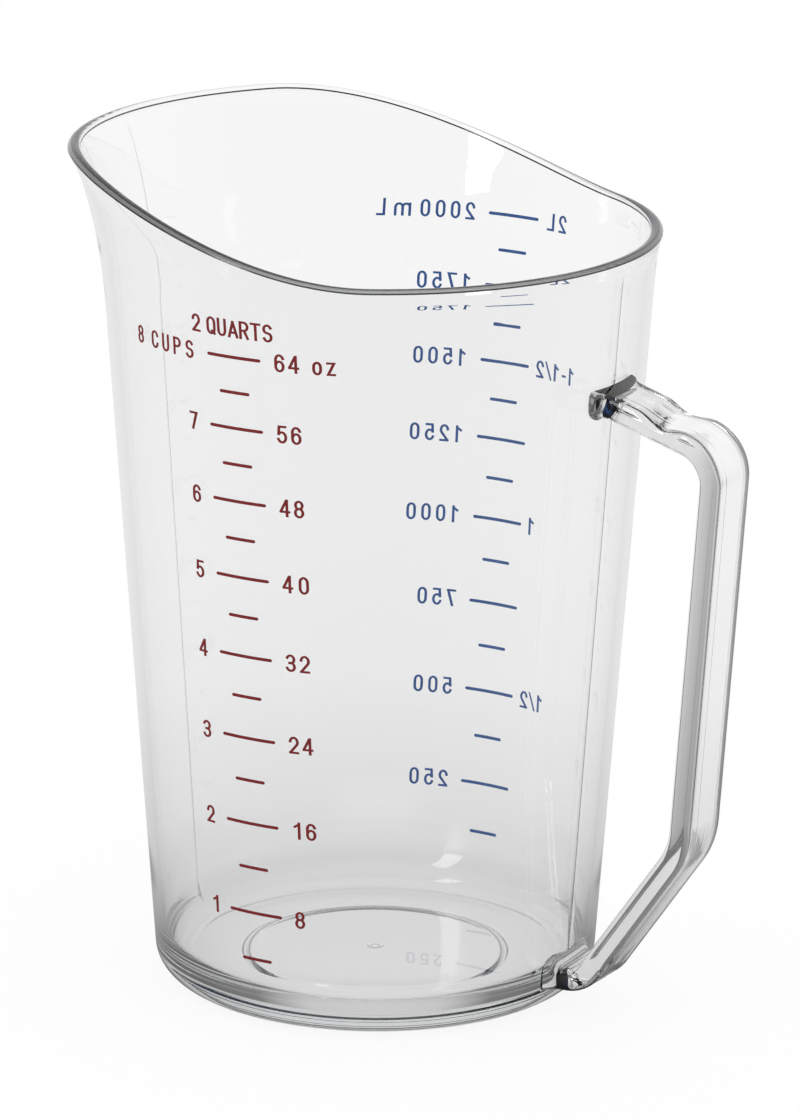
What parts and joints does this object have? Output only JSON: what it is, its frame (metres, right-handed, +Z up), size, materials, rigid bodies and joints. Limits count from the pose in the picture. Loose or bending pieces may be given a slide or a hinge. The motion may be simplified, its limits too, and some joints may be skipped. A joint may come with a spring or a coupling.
{
  "type": "measuring cup",
  "caption": "Clear tapered measuring cup with a slanted rim that climbs to a wide pouring spout, a strap handle with a thumb rest, and printed ounce and millilitre scales.",
  "frame": {"origin": "on the table under the middle of the whole cup's box; the vessel's own axis stands 11.67 mm towards -X", "axes": "+Z up out of the mouth, +X towards the handle, -X towards the spout, red ounce scale on the -Y side"},
  "size_m": [0.1784, 0.1438, 0.215],
  "materials": {
    "clear_polycarbonate": "clear, smooth and glossy",
    "red_ink": "printed, satin",
    "blue_ink": "printed, satin"
  },
  "bodies": {
    "root": {"vessel": "clear_polycarbonate", "handle": "clear_polycarbonate", "ounce_bar_01": "red_ink", "ounce_bar_02": "red_ink", "ounce_bar_03": "red_ink", "ounce_bar_04": "red_ink", "ounce_bar_05": "red_ink", "ounce_bar_06": "red_ink", "ounce_bar_07": "red_ink", "ounce_bar_08": "red_ink", "ounce_bar_09": "red_ink", "ounce_bar_10": "red_ink", "ounce_bar_11": "red_ink", "ounce_bar_12": "red_ink", "ounce_bar_13": "red_ink", "ounce_bar_14": "red_ink", "ounce_bar_15": "red_ink", "ounce_bar_16": "red_ink", "metric_bar_01": "blue_ink", "metric_bar_02": "blue_ink", "metric_bar_03": "blue_ink", "metric_bar_04": "blue_ink", "metric_bar_05": "blue_ink", "metric_bar_06": "blue_ink", "metric_bar_07": "blue_ink", "metric_bar_08": "blue_ink", "metric_bar_09": "blue_ink", "metric_bar_10": "blue_ink", "metric_bar_11": "blue_ink", "metric_bar_12": "blue_ink", "metric_bar_13": "blue_ink", "metric_bar_14": "blue_ink", "metric_bar_15": "blue_ink", "metric_bar_16": "blue_ink"}
  },
  "joints": []
}
